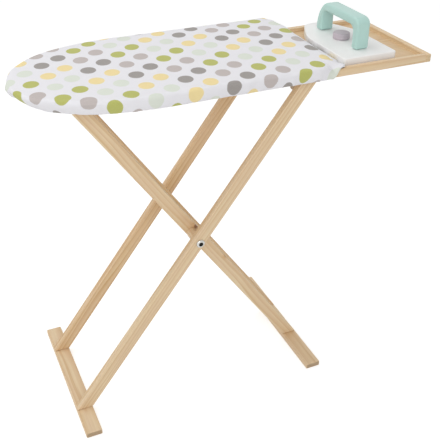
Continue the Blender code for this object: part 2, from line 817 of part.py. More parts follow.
iron_pieces = [iron_base, iron_handle]
for post_name, along in zip(("heel", "tip"), HANDLE_POSTS):
    start = on_iron(along, 0, GAP)
    length = IRON_THICKNESS + 0.014
    screw_piece = turned(
        "handle_screw_" + post_name, screw_profile(length), start, (0, 0, 1), STEEL, steps=16
    )
    hole = cutter("handle_screw_" + post_name, screw_profile(length, GAP), start, (0, 0, 1))
    cut(iron_base, hole)
    cut(iron_handle, hole)
    iron_pieces.append(screw_piece)

pin_depth = 0.006
pin_length = pin_depth + DIAL_HEIGHT * 0.6
pin_start = on_iron(DIAL_FROM_HEEL, 0, IRON_THICKNESS - pin_depth)
dial_pin = turned(
    "dial_pin", rod_profile(DIAL_PIN_RADIUS, pin_length), pin_start, (0, 0, 1), PINE, steps=16
)
cut(iron_base, cutter("dial_pin", rod_profile(DIAL_PIN_RADIUS, pin_length, GAP), pin_start, (0, 0, 1)))
iron_pieces.append(dial_pin)

dial_place = on_iron(DIAL_FROM_HEEL, 0, IRON_THICKNESS + GAP)
dial_bore = DIAL_PIN_RADIUS + GAP
dial_bore_top = DIAL_HEIGHT * 0.6 + GAP
dial = turned(
    "dial_knob",
    [
        (0, DIAL_HEIGHT),
        (DIAL_RADIUS - 0.0018, DIAL_HEIGHT),
        (DIAL_RADIUS - 0.0005, DIAL_HEIGHT - 0.0005),
        (DIAL_RADIUS, DIAL_HEIGHT - 0.0018),
        (DIAL_RADIUS, 0.0006),
        (DIAL_RADIUS - 0.0006, 0),
        (dial_bore, 0),
        (dial_bore, dial_bore_top),
        (0, dial_bore_top),
    ],
    dial_place,
    (0, 0, 1),
    MAUVE_PAINT,
    steps=32,
)
hang(iron_pieces, "iron_axis", IRON_HEEL)
hang([dial], "dial_axis", dial_place)
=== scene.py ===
"""Looks for a toy ironing board: spotted cotton cover over wadding, pine frame and tray, painted toy iron."""

import math

import bmesh
import bpy
from mathutils import Matrix, Vector, noise


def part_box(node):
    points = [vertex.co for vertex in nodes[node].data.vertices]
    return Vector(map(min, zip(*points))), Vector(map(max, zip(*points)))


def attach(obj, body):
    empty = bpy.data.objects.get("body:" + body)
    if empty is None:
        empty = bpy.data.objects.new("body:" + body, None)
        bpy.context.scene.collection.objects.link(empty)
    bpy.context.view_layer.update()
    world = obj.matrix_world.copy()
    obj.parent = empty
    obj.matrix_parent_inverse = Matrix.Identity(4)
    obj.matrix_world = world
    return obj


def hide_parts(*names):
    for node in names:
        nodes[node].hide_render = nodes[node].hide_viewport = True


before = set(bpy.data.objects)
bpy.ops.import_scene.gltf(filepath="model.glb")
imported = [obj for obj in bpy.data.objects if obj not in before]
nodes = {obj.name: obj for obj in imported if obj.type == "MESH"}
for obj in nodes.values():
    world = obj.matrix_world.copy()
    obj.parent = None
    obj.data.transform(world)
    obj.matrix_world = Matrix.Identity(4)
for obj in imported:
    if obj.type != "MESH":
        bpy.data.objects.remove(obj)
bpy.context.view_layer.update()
scene = bpy.context.scene

ALONG_X = Vector((1, 0, 0))
ALONG_Y = Vector((0, 1, 0))
UP = Vector((0, 0, 1))

# Sizes in metres. Those of the wooden pieces are read from the frame.
panel_low, panel_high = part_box("base_panel")
UNDERSIDE = panel_low.z
PANEL_TOP = panel_high.z
TAIL_X = panel_high.x
HALF_WIDTH = panel_high.y
RAIL_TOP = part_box("tray_rail_near")[1].z
RAIL_WIDTH = 0.008
GAP = 0.0003

# The padded cover, to its outside.
TRAY_LENGTH = 0.140
COVER_LENGTH = 0.443
COVER_END_X = TAIL_X - TRAY_LENGTH
NOSE_X = COVER_END_X - COVER_LENGTH
NOSE_LENGTH = 0.154
NOSE_BULGE = 0.017
NOSE_FULLNESS = 0.0158
NOSE_CENTRE_X = NOSE_X + NOSE_BULGE + NOSE_LENGTH
NOSE_FULL_X = NOSE_CENTRE_X - 0.09
NOSE_HOLLOW = 0.25
SIDE_BULGE = 0.0030
CLOTH = 0.0008
SKIN = CLOTH + GAP
COVER_HALF_WIDTH = HALF_WIDTH + SKIN
SPINE_END_X = COVER_END_X - HALF_WIDTH
MIDDLE_INSET = 0.075
WIDEST = 0.0128
EDGE_HEIGHT = 0.0188
FAR_LIFT = 0.0137
CROWN = 0.0018
EDGE_DROP = 0.0008
EDGE_SOFTNESS = 0.0050
HEM_WIDTH = 0.012
HEM_TURN = 0.0012
TAIL_SLOPE = 0.027
TAIL_HEM = 0.0015
TAIL_STUFFING = 0.0045
STUFFED_FAR = (0.055, 0.015)
STUFFED_NEAR = (-0.088, -0.070)
CORNER_RADIUS = 0.038
SKIRT_CORNER = 0.014
CORNER_CENTRE_X = COVER_END_X - CORNER_RADIUS
CORNER_CENTRE_Y = COVER_HALF_WIDTH - CORNER_RADIUS
# Toward the tail the hem starts to leave the underside, has left it, and then lies on the rails.
HEM_FADE_X = COVER_END_X - 0.046
HEM_END_X = COVER_END_X - 0.022
TAIL_RISE_X = COVER_END_X - 0.009

# Steps along the cover's lower edge, and rows of points up from the hem to the middle of the board.
NOSE_STEPS = 56
SIDE_STEPS = (52, 12, 10)
CORNER_STEPS = 6
TAIL_STEPS = 30
BAND_STEPS = 4
ROUND_STEPS = 12
TOP_STEPS = 12
TURN_ROW = 5
LOW_ROW = 8
WIDEST_ROW = 6 + BAND_STEPS
SHOULDER_ROW = WIDEST_ROW + ROUND_STEPS

# Printed spots on the flat cloth: a first spot, and the steps to the next column and to the next row.
SPOT_RADIUS = 0.0102
SPOT_START = (-0.18315, 0.00388)
COLUMN_STEP = (0.02524, 0.01693)
ROW_STEP = (-0.00139, 0.03503)
PLAIN_PLACE = (0.0, 0.0155)

# Kinds of node that are used often.
MATH = "ShaderNodeMath"
VECTOR = "ShaderNodeVectorMath"
COORDINATES = "ShaderNodeTexCoord"
NOISE = "ShaderNodeTexNoise"
RANGE = "ShaderNodeMapRange"
MIX = "ShaderNodeMix"
RAMP = "ShaderNodeValToRGB"
BUMP = "ShaderNodeBump"


def linear(colour):
    """Linear colour of an sRGB hex value."""
    values = [int(colour[i:i + 2], 16) / 255 for i in (1, 3, 5)]
    return tuple(v / 12.92 if v <= 0.04045 else ((v + 0.055) / 1.055) ** 2.4 for v in values) + (1.0,)


def noise_scale(size):
    """The scale of a noise whose marks are this many millimetres apart."""
    return 1000 / size


def plug(tree, node, sockets):
    """Gives a node's sockets values, or links from other sockets or from other nodes' first live outputs."""
    for socket, value in sockets.items():
        if isinstance(value, bpy.types.Node):
            value = next(output for output in value.outputs if output.enabled)
        if isinstance(value, bpy.types.NodeSocket):
            tree.links.new(value, node.inputs[socket])
        else:
            node.inputs[socket].default_value = value


def add_node(tree, kind, sockets=None, stops=(), **settings):
    """Adds a node with its settings and links, and for a colour ramp its stops, each (place, hex colour)."""
    made = tree.nodes.new(kind)
    for name, value in settings.items():
        setattr(made if hasattr(made, name) else made.color_ramp, name, value)
    plug(tree, made, sockets or {})
    if stops:
        points = made.color_ramp.elements
        while len(points) < len(stops):
            points.new(0.5)
        for point, (place, colour) in zip(points, stops):
            point.position = place
            point.color = linear(colour)
    return made


def new_material(name, sockets):
    """A material whose Principled shader has these constant values."""
    made = bpy.data.materials.new(name)
    made.use_nodes = True
    shader = made.node_tree.nodes["Principled BSDF"]
    plug(made.node_tree, shader, sockets)
    return made, made.node_tree, shader


# Pine: sanded softwood under clear matt lacquer. Pale early wood, amber late-wood lines, soft satin gloss.
RING_SPACING = 0.0046
RING_WANDER = 2.6 * RING_SPACING


def pine(name, along, pith, tones, knots, sawn):
    """Pine cut along a direction, with its growth rings round a pith line through a point."""
    made, tree, shader = new_material(name, {"IOR": 1.5, "Coat Weight": 0.12, "Coat Roughness": 0.35})
    along = along.normalized()
    coordinates = add_node(tree, COORDINATES)
    place = coordinates.outputs["Object"]
    from_pith = add_node(tree, VECTOR, {0: place, 1: pith}, operation="SUBTRACT")
    turn = along.rotation_difference(UP).to_euler()
    grain = add_node(tree, "ShaderNodeMapping", {"Vector": from_pith, "Rotation": turn})
    # The rings' wander, the fibres and the streaks, each drawn out along the grain. The fibres are about 1 mm
    # apart, coarser than real ones so that they show at all.
    patterns = []
    for drawn, size, detail, roughness in (
        (0.06, 18.18, 2.0, 0.55), (0.018, 1.0526, 3.0, 0.6), (0.09, 8.333, 2.0, 0.5),
    ):
        stretched = add_node(tree, VECTOR, {0: grain, 1: (1.0, 1.0, drawn)}, operation="MULTIPLY")
        patterns.append(add_node(
            tree, NOISE,
            {"Vector": stretched, "Scale": noise_scale(size), "Detail": detail, "Roughness": roughness},
        ))
    wander, fibre, streak = patterns
    across = add_node(tree, VECTOR, {0: grain, 1: (1.0, 1.0, 0.0)}, operation="MULTIPLY")
    radius = add_node(tree, VECTOR, {0: across}, operation="LENGTH")
    # Rings swell round a knot.
    from_knots = []
    for spot, size in knots:
        away = add_node(tree, VECTOR, {0: place, 1: Vector(spot)}, operation="DISTANCE")
        swell = add_node(
            tree, RANGE, {"Value": away, "From Max": size * 3.2, "To Min": size * 1.6, "To Max": 0.0},
            interpolation_type="SMOOTHERSTEP",
        )
        radius = add_node(tree, MATH, {0: radius, 1: swell}, operation="ADD")
        from_knots.append((away, size))
    moved = add_node(tree, MATH, {0: wander, 1: RING_WANDER, 2: radius}, operation="MULTIPLY_ADD")
    counted = add_node(tree, MATH, {0: moved, 1: RING_SPACING}, operation="DIVIDE")
    ring = add_node(tree, MATH, {0: counted}, operation="FRACT")
    pale, middle, dark = tones
    stops = [(0.0, pale), (0.45, middle), (0.86, dark), (1.0, pale)]
    colour = add_node(tree, RAMP, {"Fac": ring}, stops, interpolation="EASE")
    # End grain soaks up the lacquer, so sawn ends look darker and greyer.
    facing = add_node(tree, VECTOR, {0: coordinates.outputs["Normal"], 1: along}, operation="DOT_PRODUCT")
    end_grain = add_node(tree, MATH, {0: facing}, operation="ABSOLUTE")
    for pattern, low, high, most, tint in (
        (streak, 0.35, 0.75, 0.55, "#E0C0A0"),
        (fibre, 0.42, 0.72, 0.35, "#D6B68E"),
        (end_grain, 0.8, 0.97, 0.75, sawn),
    ):
        share = add_node(tree, RANGE, {"Value": pattern, "From Min": low, "From Max": high, "To Max": most})
        colour = add_node(tree, MIX, {0: share, 6: colour, 7: linear(tint)}, data_type="RGBA")
    # A knot is dark, with a halo of resin.
    for away, size in from_knots:
        for first, last, most, tint in ((1.0, 4.5, 0.55, "#D2A468"), (0.55, 1.5, 0.85, "#7E5230")):
            limits = {"From Min": size * first, "From Max": size * last, "To Min": most, "To Max": 0.0}
            share = add_node(tree, RANGE, {"Value": away, **limits}, interpolation_type="SMOOTHSTEP")
            colour = add_node(tree, MIX, {0: share, 6: colour, 7: linear(tint)}, data_type="RGBA")
    rough = add_node(
        tree, RANGE, {"Value": fibre, "From Min": 0.3, "From Max": 0.7, "To Min": 0.42, "To Max": 0.58}
    )
    bump = add_node(tree, BUMP, {"Height": fibre, "Strength": 0.18, "Distance": 0.0004})
    plug(tree, shader, {"Base Color": colour, "Roughness": rough, "Normal": bump})
    return made


# Cotton: plain woven cloth printed with spots. Matt with a faint sheen, and a thread grid in its bump.
INKS = ("#B5B847", "#DFE5D8", "#F5DE98", "#948D88", "#BFB4B0")
FIRST_INK = 3
# The threads are 0.9 mm apart, about twice the real spacing, so that they show close to. A wave texture has
# 20 radians in each unit of its scale.
THREAD_SPACING = 0.0008976
WEAVE_SCALE = 2 * math.pi / (20 * THREAD_SPACING)


def cotton():
    """Cotton with its print laid out on the flat cloth."""
    made, tree, shader = new_material(
        "printed_cotton", {"Roughness": 0.85, "IOR": 1.45, "Sheen Weight": 0.12, "Sheen Roughness": 0.5}
    )
    flat = add_node(tree, "ShaderNodeUVMap", uv_map="cloth")
    from_start = add_node(tree, VECTOR, {0: flat, 1: (*SPOT_START, 0.0)}, operation="SUBTRACT")
    along, across, _ = add_node(tree, "ShaderNodeSeparateXYZ", {0: from_start}).outputs
    # The column and row of the nearest spot on the print's slanting grid, and the distance from its middle.
    skew = -ROW_STEP[0] / ROW_STEP[1]
    column_width = COLUMN_STEP[0] + skew * COLUMN_STEP[1]
    slanted = add_node(tree, MATH, {0: across, 1: skew, 2: along}, operation="MULTIPLY_ADD")
    columns = add_node(tree, MATH, {0: slanted, 1: column_width}, operation="DIVIDE")
    column = add_node(tree, MATH, {0: columns}, operation="ROUND")
    shifted = add_node(tree, MATH, {0: column, 1: -COLUMN_STEP[1], 2: across}, operation="MULTIPLY_ADD")
    rows = add_node(tree, MATH, {0: shifted, 1: ROW_STEP[1]}, operation="DIVIDE")
    row = add_node(tree, MATH, {0: rows}, operation="ROUND")
    off_across = add_node(tree, MATH, {0: row, 1: -ROW_STEP[1], 2: shifted}, operation="MULTIPLY_ADD")
    in_column = add_node(tree, MATH, {0: column, 1: -COLUMN_STEP[0], 2: along}, operation="MULTIPLY_ADD")
    off_along = add_node(tree, MATH, {0: row, 1: -ROW_STEP[0], 2: in_column}, operation="MULTIPLY_ADD")
    off_middle = add_node(tree, "ShaderNodeCombineXYZ", {0: off_along, 1: off_across})
    away = add_node(tree, VECTOR, {0: off_middle}, operation="LENGTH")
    threads = add_node(tree, NOISE, {"Vector": flat, "Scale": noise_scale(1.1111), "Detail": 2.0})
    ragged = add_node(tree, MATH, {0: threads, 1: 0.0009, 2: away}, operation="MULTIPLY_ADD")
    spot = add_node(
        tree, RANGE,
        {
            "Value": ragged, "From Min": SPOT_RADIUS - 0.0001, "From Max": SPOT_RADIUS + 0.0009,
            "To Min": 1.0, "To Max": 0.0,
        },
        interpolation_type="SMOOTHSTEP",
    )
    # The inks take turns down each pair of columns.
    halved = add_node(tree, MATH, {0: column, 1: 2.0}, operation="DIVIDE")
    pair = add_node(tree, MATH, {0: halved}, operation="FLOOR")
    turn = add_node(tree, MATH, {0: pair, 1: 2.0, 2: row}, operation="MULTIPLY_ADD")
    counted = add_node(tree, MATH, {0: turn, 1: FIRST_INK + 0.5}, operation="ADD")
    which = add_node(tree, MATH, {0: counted, 1: len(INKS)}, operation="FLOORED_MODULO")
    share = add_node(tree, MATH, {0: which, 1: len(INKS)}, operation="DIVIDE")
    stops = [(number / len(INKS), colour) for number, colour in enumerate(INKS)]
    ink = add_node(tree, RAMP, {"Fac": share}, stops, interpolation="CONSTANT")
    warp, weft = [
        add_node(
            tree, "ShaderNodeTexWave",
            {"Vector": flat, "Scale": WEAVE_SCALE, "Distortion": 0.6, "Detail": 1.0},
            bands_direction=direction,
        ).outputs["Fac"]
        for direction in ("X", "Y")
    ]
    weave = add_node(tree, MATH, {0: warp, 1: weft}, operation="MULTIPLY")
    shaded = add_node(tree, MATH, {0: weave, 1: 0.35}, operation="MULTIPLY")
    cloth = add_node(tree, MIX, {0: shaded, 6: linear("#EFEEF2"), 7: linear("#E3E2E6")}, data_type="RGBA")
    worn = add_node(tree, MATH, {0: threads, 1: 0.22}, operation="MULTIPLY")
    faded = add_node(tree, MIX, {0: worn, 6: ink, 7: linear("#EFEFEF")}, data_type="RGBA")
    printed = add_node(tree, MIX, {0: spot, 6: cloth, 7: faded}, data_type="RGBA")
    bump = add_node(tree, BUMP, {"Height": weave, "Strength": 0.25, "Distance": 0.0003})
    plug(tree, shader, {"Base Color": printed, "Normal": bump})
    return made


# Paint: sprayed satin enamel on sanded wood. Even colour, soft gloss, faint grain and spray texture.
def paint(name, colour, shade, roughness=0.38):
    made, tree, shader = new_material(name, {"IOR": 1.5, "Coat Weight": 0.1, "Coat Roughness": 0.25})
    place = add_node(tree, COORDINATES).outputs["Object"]
    spray = add_node(tree, NOISE, {"Vector": place, "Scale": noise_scale(2.381), "Detail": 3.0})
    drawn = add_node(tree, VECTOR, {0: place, 1: (1.0, 0.05, 1.0)}, operation="MULTIPLY")
    grain = add_node(tree, NOISE, {"Vector": drawn, "Scale": noise_scale(3.3333), "Detail": 2.0})
    clouds = add_node(tree, NOISE, {"Vector": place, "Scale": noise_scale(22.222), "Detail": 2.0})
    share = add_node(tree, RANGE, {"Value": clouds, "From Min": 0.35, "From Max": 0.7, "To Max": 0.5})
    tone = add_node(tree, MIX, {0: share, 6: linear(colour), 7: linear(shade)}, data_type="RGBA")
    rough = add_node(tree, RANGE, {"Value": spray, "To Min": roughness - 0.05, "To Max": roughness + 0.08})
    height = add_node(tree, MATH, {0: grain, 1: 0.7, 2: spray}, operation="MULTIPLY_ADD")
    bump = add_node(tree, BUMP, {"Height": height, "Strength": 0.12, "Distance": 0.0003})
    plug(tree, shader, {"Base Color": tone, "Roughness": rough, "Normal": bump})
    return made


# Metal: plated steel, turned and tumbled. Bright, with fine handling marks in its gloss, and near-black
# painted shade on faces marked as socket shade, down in a bolt's socket.
def plated(name, colour, low, high):
    made, tree, shader = new_material(name, {"Metallic": 1.0})
    place = add_node(tree, COORDINATES).outputs["Object"]
    painted_shade = add_node(tree, "ShaderNodeAttribute", attribute_name="socket_shade").outputs["Fac"]
    # Painted shade: the socket-shade mark darkens the colour to near black.
    tone = add_node(tree, MIX, {0: painted_shade, 6: linear(colour), 7: linear("#2B2926")}, data_type="RGBA")
    marks = add_node(
        tree, NOISE, {"Vector": place, "Scale": noise_scale(1.1111), "Detail": 4.0, "Roughness": 0.7}
    )
    rough = add_node(
        tree, RANGE, {"Value": marks, "From Min": 0.3, "From Max": 0.7, "To Min": low, "To Max": high}
    )
    plug(tree, shader, {"Base Color": tone, "Roughness": rough})
    return made


# Wadding: bonded polyester fibre, creamy white and dull, with a fluffy bump.
def wadding():
    made, tree, shader = new_material("polyester_wadding", {"Roughness": 0.95, "Sheen Weight": 0.3})
    place = add_node(tree, COORDINATES).outputs["Object"]
    fluff = add_node(
        tree, NOISE, {"Vector": place, "Scale": noise_scale(3.8462), "Detail": 5.0, "Roughness": 0.7}
    )
    tone = add_node(tree, RAMP, {"Fac": fluff}, [(0.3, "#E3DDCB"), (0.7, "#F5F1E6")])
    bump = add_node(tree, BUMP, {"Height": fluff, "Strength": 0.5, "Distance": 0.001})
    plug(tree, shader, {"Base Color": tone, "Normal": bump})
    return made


# Thread: white spun polyester, slightly shiny.
def thread():
    made, tree, shader = new_material("sewing_thread", {"Roughness": 0.6, "Sheen Weight": 0.2})
    place = add_node(tree, COORDINATES).outputs["Object"]
    twist = add_node(tree, NOISE, {"Vector": place, "Scale": noise_scale(0.66667), "Detail": 1.0})
    tone = add_node(tree, RAMP, {"Fac": twist}, [(0.3, "#DADADF"), (0.7, "#F2F2F5")])
    plug(tree, shader, {"Base Color": tone})
    return made


COTTON = cotton()
WADDING = wadding()
THREAD = thread()
WHITE_ENAMEL = paint("white_enamel", "#F6F5F4", "#F0EFEE")
MINT_ENAMEL = paint("mint_enamel", "#B9DCD4", "#B0D3CB")
MAUVE_ENAMEL = paint("mauve_enamel", "#C3B6BE", "#B8ABB4", 0.42)
NICKEL = plated("nickel_plate", "#C9C8C4", 0.16, 0.34)
ZINC = plated("zinc_plate", "#A9ABAE", 0.3, 0.5)

# Each wooden node's grain direction, tones and knots. A knot is (place, radius).
OUTER_SLOPE = math.radians(52.91)
INNER_SLOPE = math.radians(55.32)
OUTER_ALONG = Vector((math.cos(OUTER_SLOPE), 0, math.sin(OUTER_SLOPE)))
INNER_ALONG = Vector((-math.cos(INNER_SLOPE), 0, math.sin(INNER_SLOPE)))
PINE_TONES = ("#EAD4B0", "#E5CBA3", "#D8B88B")
PANEL_TONES = ("#DFC59C", "#D9BC8F", "#CDAA7A")
# Painted shade: the far legs are toned darker and browner than the rest, for the shade under the board.
SHADED_FAR_LEG_TONES = ("#E4C89E", "#DDBC8E", "#CDA672")
TONES = {"base_panel": PANEL_TONES, "outer_leg_far": SHADED_FAR_LEG_TONES, "inner_leg_far": SHADED_FAR_LEG_TONES}
KNOTS = {
    "inner_leg_near": [((-0.0547, -0.0455, 0.2716), 0.0034), ((-0.0056, -0.0450, 0.2050), 0.0020)],
}


def grain_of(name):
    if name.startswith("outer_leg"):
        return OUTER_ALONG
    if name.startswith("inner_leg"):
        return INNER_ALONG
    if name in ("tray_rail_near", "tray_rail_far", "base_panel") or name.startswith("hinge_block"):
        return ALONG_X
    return ALONG_Y


def pine_for(name):
    """Pine for one node. Its pith lies outside the node, at a place that the node's name settles."""
    low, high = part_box(name)
    along = grain_of(name)
    aside = UP if abs(along.z) < 0.5 else along.cross(ALONG_Y)
    number = sum(ord(letter) for letter in name)
    reach = 0.018 + 0.004 * (number % 7)
    pith = (low + high) / 2 - aside * reach + ALONG_Y * (0.011 + 0.002 * (number % 5))
    sawn = "#D3B88E" if name.startswith("tray_rail") else "#9C8263"
    return pine("pine_" + name, along, pith, TONES.get(name, PINE_TONES), KNOTS.get(name, ()), sawn)


for name, piece in nodes.items():
    if name in ("cover", "foam_pad", "hem_elastic", "iron_base", "iron_handle", "dial_knob"):
        continue
    if "screw" in name:
        finish = ZINC
    elif name.startswith(("pivot_bolt", "pivot_nut")):
        finish = NICKEL
    else:
        finish = pine_for(name)
    piece.material_slots[0].material = finish


def link(name, mesh, surface):
    """A finished mesh as an object at the origin."""
    made = bpy.data.objects.new(name, mesh)
    mesh.materials.clear()
    mesh.materials.append(surface)
    scene.collection.objects.link(made)
    return made


def piece_of(name, shape, surface):
    """A worked shape as an object at the origin, shaded smooth."""
    mesh = bpy.data.meshes.new(name)
    shape.to_mesh(mesh)
    shape.free()
    mesh.shade_smooth()
    return link(name, mesh, surface)


def settle(piece, smooth_angle):
    """Applies a piece's modifiers, and shades it smooth except at sharp edges."""
    bpy.context.view_layer.update()
    evaluated = piece.evaluated_get(bpy.context.evaluated_depsgraph_get())
    mesh = bpy.data.meshes.new_from_object(evaluated)
    piece.modifiers.clear()
    old = piece.data
    piece.data = mesh
    bpy.data.meshes.remove(old)
    mesh.shade_smooth()
    mesh.set_sharp_from_angle(angle=math.radians(smooth_angle))


def bevelled(piece, width, segments=4, angle=40):
    """Eases a piece's edges."""
    made = piece.modifiers.new("eased", "BEVEL")
    made.width = width
    made.segments = segments
    made.limit_method = "ANGLE"
    made.angle_limit = math.radians(angle)
    made.harden_normals = False
    settle(piece, 30)


def weld(shape):
    """Merges points that lie together, and drops the faces that this leaves without an area."""
    bmesh.ops.remove_doubles(shape, verts=shape.verts, dist=0.00002)
    flat = [face for face in shape.faces if face.calc_area() < 1e-12]
    bmesh.ops.delete(shape, geom=flat, context="FACES")


def blend(low, high, share):
    """Goes smoothly from 0 at low to 1 at high."""
    place = min(1, max(0, (share - low) / (high - low)))
    return place * place * (3 - 2 * place)


def quarter(steps, first=0):
    """The sine and cosine at each step of a quarter turn."""
    angles = [math.pi / 2 * step / steps for step in range(first, steps + 1)]
    return [(math.sin(angle), math.cos(angle)) for angle in angles]


# The cover's plan, as in the frame's own solid but with many more points.
def skirt_line():
    """The near half of the cover's lower edge, from the nose tip to the middle of the tail."""
    points = []
    for sine, cosine in quarter(NOSE_STEPS):
        points.append((NOSE_CENTRE_X - NOSE_LENGTH * cosine, -COVER_HALF_WIDTH * sine))
    stops = [NOSE_CENTRE_X, HEM_FADE_X, HEM_END_X, COVER_END_X - SKIRT_CORNER]
    for start, end, steps in zip(stops, stops[1:], SIDE_STEPS):
        for step in range(1, steps + 1):
            points.append((start + (end - start) * step / steps, -COVER_HALF_WIDTH))
    for sine, cosine in quarter(CORNER_STEPS, 1):
        points.append((
            COVER_END_X - SKIRT_CORNER * (1 - sine),
            -COVER_HALF_WIDTH + SKIRT_CORNER * (1 - cosine),
        ))
    start = COVER_HALF_WIDTH - SKIRT_CORNER
    for step in range(1, TAIL_STEPS + 1):
        points.append((COVER_END_X, -start * (1 - step / TAIL_STEPS)))
    return points


def top_line(skirt):
    """The rounded plan of the padded top, with a point for each point of the skirt."""
    points = []
    for x, y in skirt:
        if x <= CORNER_CENTRE_X or -y <= CORNER_CENTRE_Y:
            points.append((x, y))
            continue
        passed = x - CORNER_CENTRE_X + COVER_HALF_WIDTH + y
        angle = math.pi / 2 * passed / (2 * CORNER_RADIUS)
        points.append((
            CORNER_CENTRE_X + CORNER_RADIUS * math.sin(angle),
            -CORNER_CENTRE_Y - CORNER_RADIUS * math.cos(angle),
        ))
    return points


def stations():
    """Places right round the cover, each (skirt point, top point, distance from the nose tip, side)."""
    skirt = skirt_line()
    passed = [0]
    for a, b in zip(skirt, skirt[1:]):
        passed.append(passed[-1] + math.dist(a, b))
    near = list(zip(skirt, top_line(skirt), passed))
    return [(*station, 1) for station in near] + [(*station, -1) for station in near[-2:0:-1]]


def spine_of(point):
    """The point of the board's spine that a plan point is pulled toward."""
    return min(max(point[0], NOSE_CENTRE_X), SPINE_END_X)


def toward_middle(point, inset):
    """A plan point moved toward the spine."""
    spine_x = spine_of(point)
    away = Vector((point[0] - spine_x, point[1]))
    reach = away.length
    moved = away * ((reach - inset) / reach)
    return Vector((spine_x + moved.x, moved.y))


def centre_of(point):
    """Where a plan point's row meets the board's centre line."""
    if point[0] <= SPINE_END_X:
        return Vector((toward_middle(point, MIDDLE_INSET).x, 0))
    passed = (point[0] - SPINE_END_X + COVER_HALF_WIDTH + point[1]) / (HALF_WIDTH + COVER_HALF_WIDTH)
    return Vector((SPINE_END_X + (HALF_WIDTH - MIDDLE_INSET) * passed, 0))


def bulge_of(point):
    """How far the padded edge stands out over the hem: most at the nose, and not at all at the tail."""
    on_nose = min(1, max(0, (NOSE_CENTRE_X - point[0]) / NOSE_LENGTH)) ** 2
    before_tail = 1 - blend(HEM_FADE_X, COVER_END_X - SKIRT_CORNER, point[0])
    return (SIDE_BULGE + (NOSE_FULLNESS - SIDE_BULGE) * on_nose) * before_tail


def top_height(x, y):
    """The padded top: level along its near edge, fuller along the far one, and crowned between."""
    on_nose = min(1, max(0, (NOSE_CENTRE_X - x) / (NOSE_LENGTH + NOSE_BULGE)))
    near_edge = -COVER_HALF_WIDTH * math.sqrt(1 - on_nose ** 2)
    across = min(1, max(0, (y - near_edge) / (COVER_HALF_WIDTH - near_edge)))
    crown = CROWN * max(0, 1 - (y / COVER_HALF_WIDTH) ** 2)
    return UNDERSIDE + EDGE_HEIGHT + FAR_LIFT * across + crown


def cover_column(skirt_point, top_point, side):
    """One run of points up one side of the cover, from the hem's inner edge to the centre line."""
    x, y = skirt_point
    on_tail = blend(HEM_END_X, TAIL_RISE_X, x)
    rail_inside = -HALF_WIDTH + RAIL_WIDTH
    on_floor = blend(rail_inside + 0.001, rail_inside + 0.006, y) if x > HEM_END_X else 0
    hem = UNDERSIDE - SKIN - GAP
    tail = RAIL_TOP + SKIN + GAP + (PANEL_TOP - RAIL_TOP - SKIN) * on_floor
    low = hem + (tail - hem) * on_tail
    start = low + HEM_TURN
    tucked = 1 - blend(HEM_FADE_X, HEM_END_X, x)
    out = bulge_of(skirt_point)
    # The hem lies flat under the panel and turns up round its edge.
    column = []
    for share in (1.0, 0.75, 0.5, 0.25):
        spot = toward_middle(skirt_point, (HEM_TURN + (HEM_WIDTH - HEM_TURN) * share) * tucked)
        column.append((spot, low))
    column.append((toward_middle(skirt_point, HEM_TURN * tucked), low + HEM_TURN * 0.2 * (1 - tucked)))
    column.append((toward_middle(skirt_point, HEM_TURN * 0.3 * tucked), low + HEM_TURN * 0.5))
    column.append((Vector(skirt_point), start))
    # The tail's hem is stuffed between its corners and thin at them.
    stuffed = blend(*STUFFED_FAR, y * side) * blend(*STUFFED_NEAR, y * side)
    tail_edge = start + TAIL_HEM + TAIL_STUFFING * stuffed
    on_slope = blend(CORNER_CENTRE_X, COVER_END_X, top_point[0])
    inset = EDGE_SOFTNESS - out
    inset += (TAIL_SLOPE - inset) * on_slope
    shoulder = toward_middle(top_point, inset)
    edge = top_height(shoulder.x, shoulder.y * side) - EDGE_DROP
    # On the nose the widest line rises with the pad, and below it the elastic draws the cloth in.
    on_nose = blend(NOSE_CENTRE_X, NOSE_FULL_X, x)
    taller = (edge - UNDERSIDE) / (EDGE_HEIGHT - EDGE_DROP) - 1
    fullest = UNDERSIDE + WIDEST * (1 + taller * on_nose)
    widest = max(fullest + (tail_edge - fullest) * on_tail, start + TAIL_HEM)
    for step, (sine, cosine) in enumerate(quarter(BAND_STEPS, 1), 1):
        share = step / BAND_STEPS
        reach = sine + (1 - cosine - sine) * NOSE_HOLLOW * on_nose
        spot = toward_middle(skirt_point, -out * reach)
        near_top = blend(0.1, 1.0, share) * (1 - tucked)
        column.append((spot.lerp(toward_middle(top_point, -out), near_top), start + (widest - start) * share))
    for step, (sine, cosine) in enumerate(quarter(ROUND_STEPS, 1), 1):
        share = step / ROUND_STEPS
        round_inset = EDGE_SOFTNESS * (1 - cosine) - out
        spot = toward_middle(top_point, round_inset + (TAIL_SLOPE * share - round_inset) * on_slope)
        risen = sine + (blend(-0.15, 1, share) - sine) * on_slope * (1 - 0.5 * stuffed)
        column.append((spot, widest + (edge - widest) * risen))
    middle = centre_of(top_point)
    for step in range(1, TOP_STEPS + 1):
        share = step / TOP_STEPS
        spot = shoulder.lerp(middle, share)
        drop = EDGE_DROP * (1 - min(1, 3 * share)) ** 2
        column.append((spot, top_height(spot.x, spot.y * side) - drop))
    return [(spot.x, spot.y * side, height) for spot, height in column]


def skin(shape, columns):
    """Points for all columns, and faces between each column and the next, right round."""
    grid = [[shape.verts.new(point) for point in column] for column in columns]
    for left, right in zip(grid, grid[1:] + grid[:1]):
        for row in range(len(left) - 1):
            shape.faces.new((left[row], right[row], right[row + 1], left[row + 1]))
    return grid


# How far the cloth is pulled along and across the board, in mm: a cubic of the place in tenths of a metre.
PULL_ALONG = (0.67, -0.18, 1.73, 0.85, 1.68, -2.76, 0.28, 0.15, -0.22, 0.72)
PULL_ACROSS = (-1.52, -5.52, -0.51, 2.16, 1.08, 0.51, 1.18, 1.90, 2.89, 3.69)
# The elastic draws the print out over the shoulders of the nose, between these places, and close to the hem.
DRAWN_FROM_SIDE = (-0.180, -0.225)
DRAWN_FROM_TIP = (NOSE_X + NOSE_BULGE, -0.262)
DRAWN_ON_NOSE = 0.3
DRAWN_AT_HEM = 0.65


